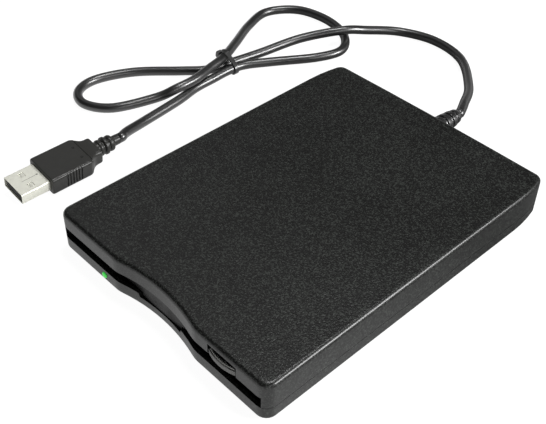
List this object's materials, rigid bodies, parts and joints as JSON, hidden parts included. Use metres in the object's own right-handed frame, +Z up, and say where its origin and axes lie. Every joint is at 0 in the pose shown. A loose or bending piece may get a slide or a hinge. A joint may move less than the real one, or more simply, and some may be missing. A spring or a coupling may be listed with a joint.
{
  "type": "external floppy disk drive",
  "caption": "Slim black external floppy disk drive with a wavy front, full-width disk slot, eject button and light, on a tied cable with its plug.",
  "frame": {"origin": "middle of the case, button included, on the surface that its feet stand on", "axes": "+Z up, -Y towards the front with the disk slot, +X to the right of someone facing the front"},
  "size_m": [0.1809, 0.2037, 0.017],
  "materials": {
    "case": "fine grain",
    "button": "fine grain",
    "door": "smooth",
    "rubber": "matt",
    "screw_dark": "blackened",
    "screw_bright": "zinc plated",
    "sheet": "zinc plated sheet",
    "spring": "bright",
    "shaft": "ground",
    "lens": "clear green, lit",
    "diode": "clear",
    "board": "solder mask",
    "copper": "enamelled wire",
    "bronze": "sintered",
    "magnet": "matt",
    "moulding": "filled plastic",
    "ceramic": "polished",
    "chip": "matt",
    "can": "satin",
    "socket": "natural",
    "wire": "smooth",
    "flex": "film",
    "cable": "glossy",
    "grip": "satin",
    "plug_metal": "nickel plated",
    "tongue": "smooth",
    "gold": "plated"
  },
  "bodies": {
    "case": {"top_cover": "case", "bottom_shell": "case", "rubber_feet": "rubber", "case_screws": "screw_dark", "slide_springs": "spring", "light_pipe": "lens", "status_led": "diode", "chassis": "sheet", "chassis_screws": "screw_bright", "mechanism_shield": "sheet", "motor_board": "board", "stator_coils": "copper", "spindle_bearing": "bronze", "guide_rod": "shaft", "rod_clamps": "sheet", "stepper_motor": "can", "stepper_bracket": "sheet", "screw_bearing": "moulding", "main_board": "board", "board_chips": "chip", "board_capacitors": "can", "board_sockets": "socket", "cable_leads": "wire", "motor_flex": "flex", "head_flex": "flex", "disk_switches": "chip", "strain_relief": "grip", "usb_cable": "cable", "cable_tie": "cable", "plug_grip": "grip", "plug_shell": "plug_metal", "plug_tongue": "tongue", "plug_contacts": "gold"},
    "slider": {"slide_plate": "sheet", "eject_button": "button"},
    "holder": {"disk_holder": "sheet", "holder_pins": "shaft", "lever_pivot": "shaft", "lever_spring": "spring"},
    "lever": {"shutter_lever": "sheet"},
    "door": {"dust_door": "door", "door_spring": "spring"},
    "spindle": {"rotor": "sheet", "rotor_magnet": "magnet", "spindle_shaft": "shaft", "hub_plate": "sheet", "drive_pin": "shaft"},
    "carriage": {"head_carriage": "moulding", "lower_head": "ceramic", "arm_pin": "shaft", "arm_spring": "spring"},
    "upper_head_arm": {"upper_arm": "moulding", "upper_head": "ceramic"},
    "screw": {"lead_screw": "shaft"}
  },
  "joints": [
    {"name": "eject_slide", "type": "slide", "parent": "case", "child": "slider", "axis": [0, -1, 0], "range_m": [0, 0.005], "deforming": ["slide_springs"]},
    {"name": "holder_drop", "type": "slide", "parent": "case", "child": "holder", "axis": [0, 0, -1], "range_m": [0, 0.0019]},
    {"name": "lever_turn", "type": "hinge", "parent": "holder", "child": "lever", "pos_m": [-0.038, 0.00002, 0.0119], "axis": [0, 0, 1], "range_deg": [0, 72], "stiffness_Nm_per_rad": 0.001, "springref_deg": -11.46, "deforming": ["lever_spring"]},
    {"name": "door_swing", "type": "hinge", "parent": "case", "child": "door", "pos_m": [0, -0.0643, 0.012], "axis": [1, 0, 0], "range_deg": [0, 88], "stiffness_Nm_per_rad": 0.0005, "springref_deg": -11.46},
    {"name": "spindle_turn", "type": "hinge", "parent": "case", "child": "spindle", "pos_m": [0, -0.0175, 0.0044], "axis": [0, 0, 1], "continuous": true},
    {"name": "head_slide", "type": "slide", "parent": "case", "child": "carriage", "axis": [0, -1, 0], "range_m": [0, 0.015], "deforming": ["head_flex"]},
    {"name": "arm_lift", "type": "hinge", "parent": "carriage", "child": "upper_head_arm", "pos_m": [0, 0.056, 0.0091], "axis": [1, 0, 0], "range_deg": [0, 8]},
    {"name": "screw_turn", "type": "hinge", "parent": "case", "child": "screw", "pos_m": [-0.016, 0.045, 0.0086], "axis": [0, -1, 0], "range_deg": [0, 1440]}
  ],
  "couplings": [
    {"joint": "holder_drop", "follows": "eject_slide", "ratio": 0.38},
    {"joint": "arm_lift", "follows": "eject_slide", "rad_per_m": 27.8},
    {"joint": "screw_turn", "follows": "head_slide", "rad_per_m": 1675.5}
  ]
}
